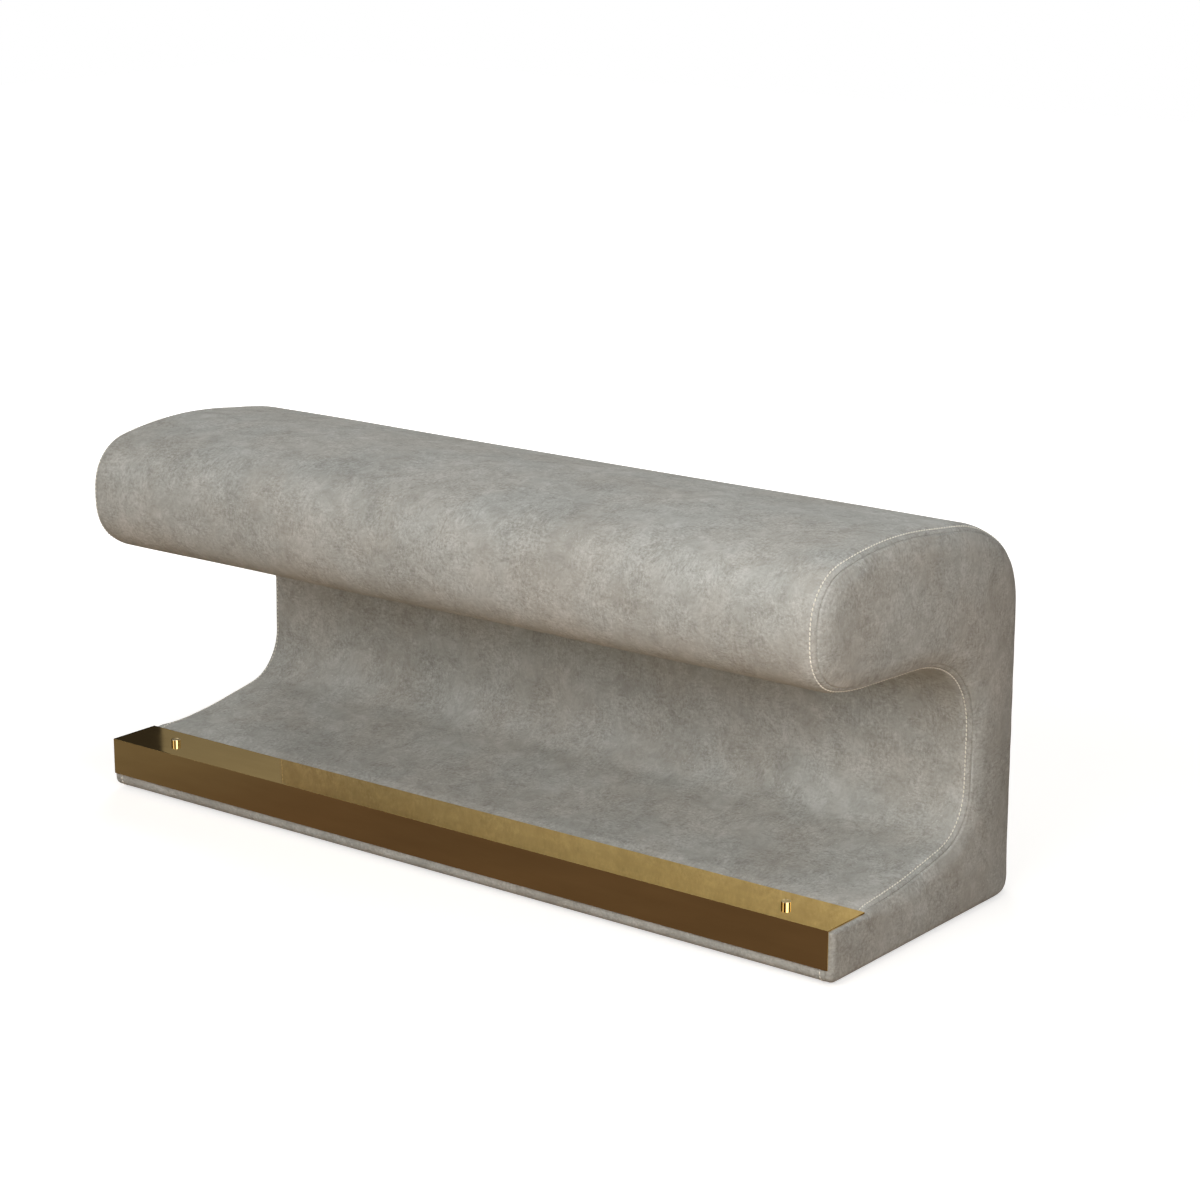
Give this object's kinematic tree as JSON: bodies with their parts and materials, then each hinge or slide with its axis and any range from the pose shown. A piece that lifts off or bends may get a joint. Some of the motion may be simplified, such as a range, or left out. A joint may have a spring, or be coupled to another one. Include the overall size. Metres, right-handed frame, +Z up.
{
  "type": "upholstered bench",
  "caption": "Upholstered cantilever bench, C-shaped in side view, with a padded seat roll over an open base edged with a polished brass angle.",
  "frame": {"origin": "the centre of the bench's footprint box, on the floor under the glides", "axes": "+X along the bench to its right end, the brass edge and the open side face -Y, +Z up"},
  "size_m": [1.11, 0.43, 0.476],
  "materials": {
    "suede": "matte",
    "thread": "matte",
    "brass": "polished",
    "plywood": "matte",
    "timber": "matte",
    "foam": "matte",
    "zinc": "satin",
    "dust_cloth": "matte",
    "nylon": "satin"
  },
  "bodies": {
    "root": {"base_board": "plywood", "base_top_board": "plywood", "front_rail": "timber", "rear_bottom_rail": "timber", "rear_top_rail": "timber", "nose_rail": "timber", "left_end_rib": "plywood", "left_rib": "plywood", "centre_rib": "plywood", "right_rib": "plywood", "right_end_rib": "plywood", "seat_deck": "plywood", "inner_skin": "plywood", "back_panel": "plywood", "glue_blocks": "timber", "seat_foam": "foam", "nose_foam": "foam", "soffit_foam": "foam", "inner_back_foam": "foam", "base_foam": "foam", "back_foam": "foam", "left_end_foam": "foam", "right_end_foam": "foam", "main_cover": "suede", "left_end_cover": "suede", "right_end_cover": "suede", "left_topstitch": "thread", "right_topstitch": "thread", "brass_angle": "brass", "left_brass_screw": "brass", "right_brass_screw": "brass", "screw_inserts": "zinc", "board_screws": "zinc", "rail_screws": "zinc", "dust_cloth": "dust_cloth", "cloth_staples": "zinc", "glides": "nylon", "glide_nails": "zinc"}
  },
  "joints": []
}
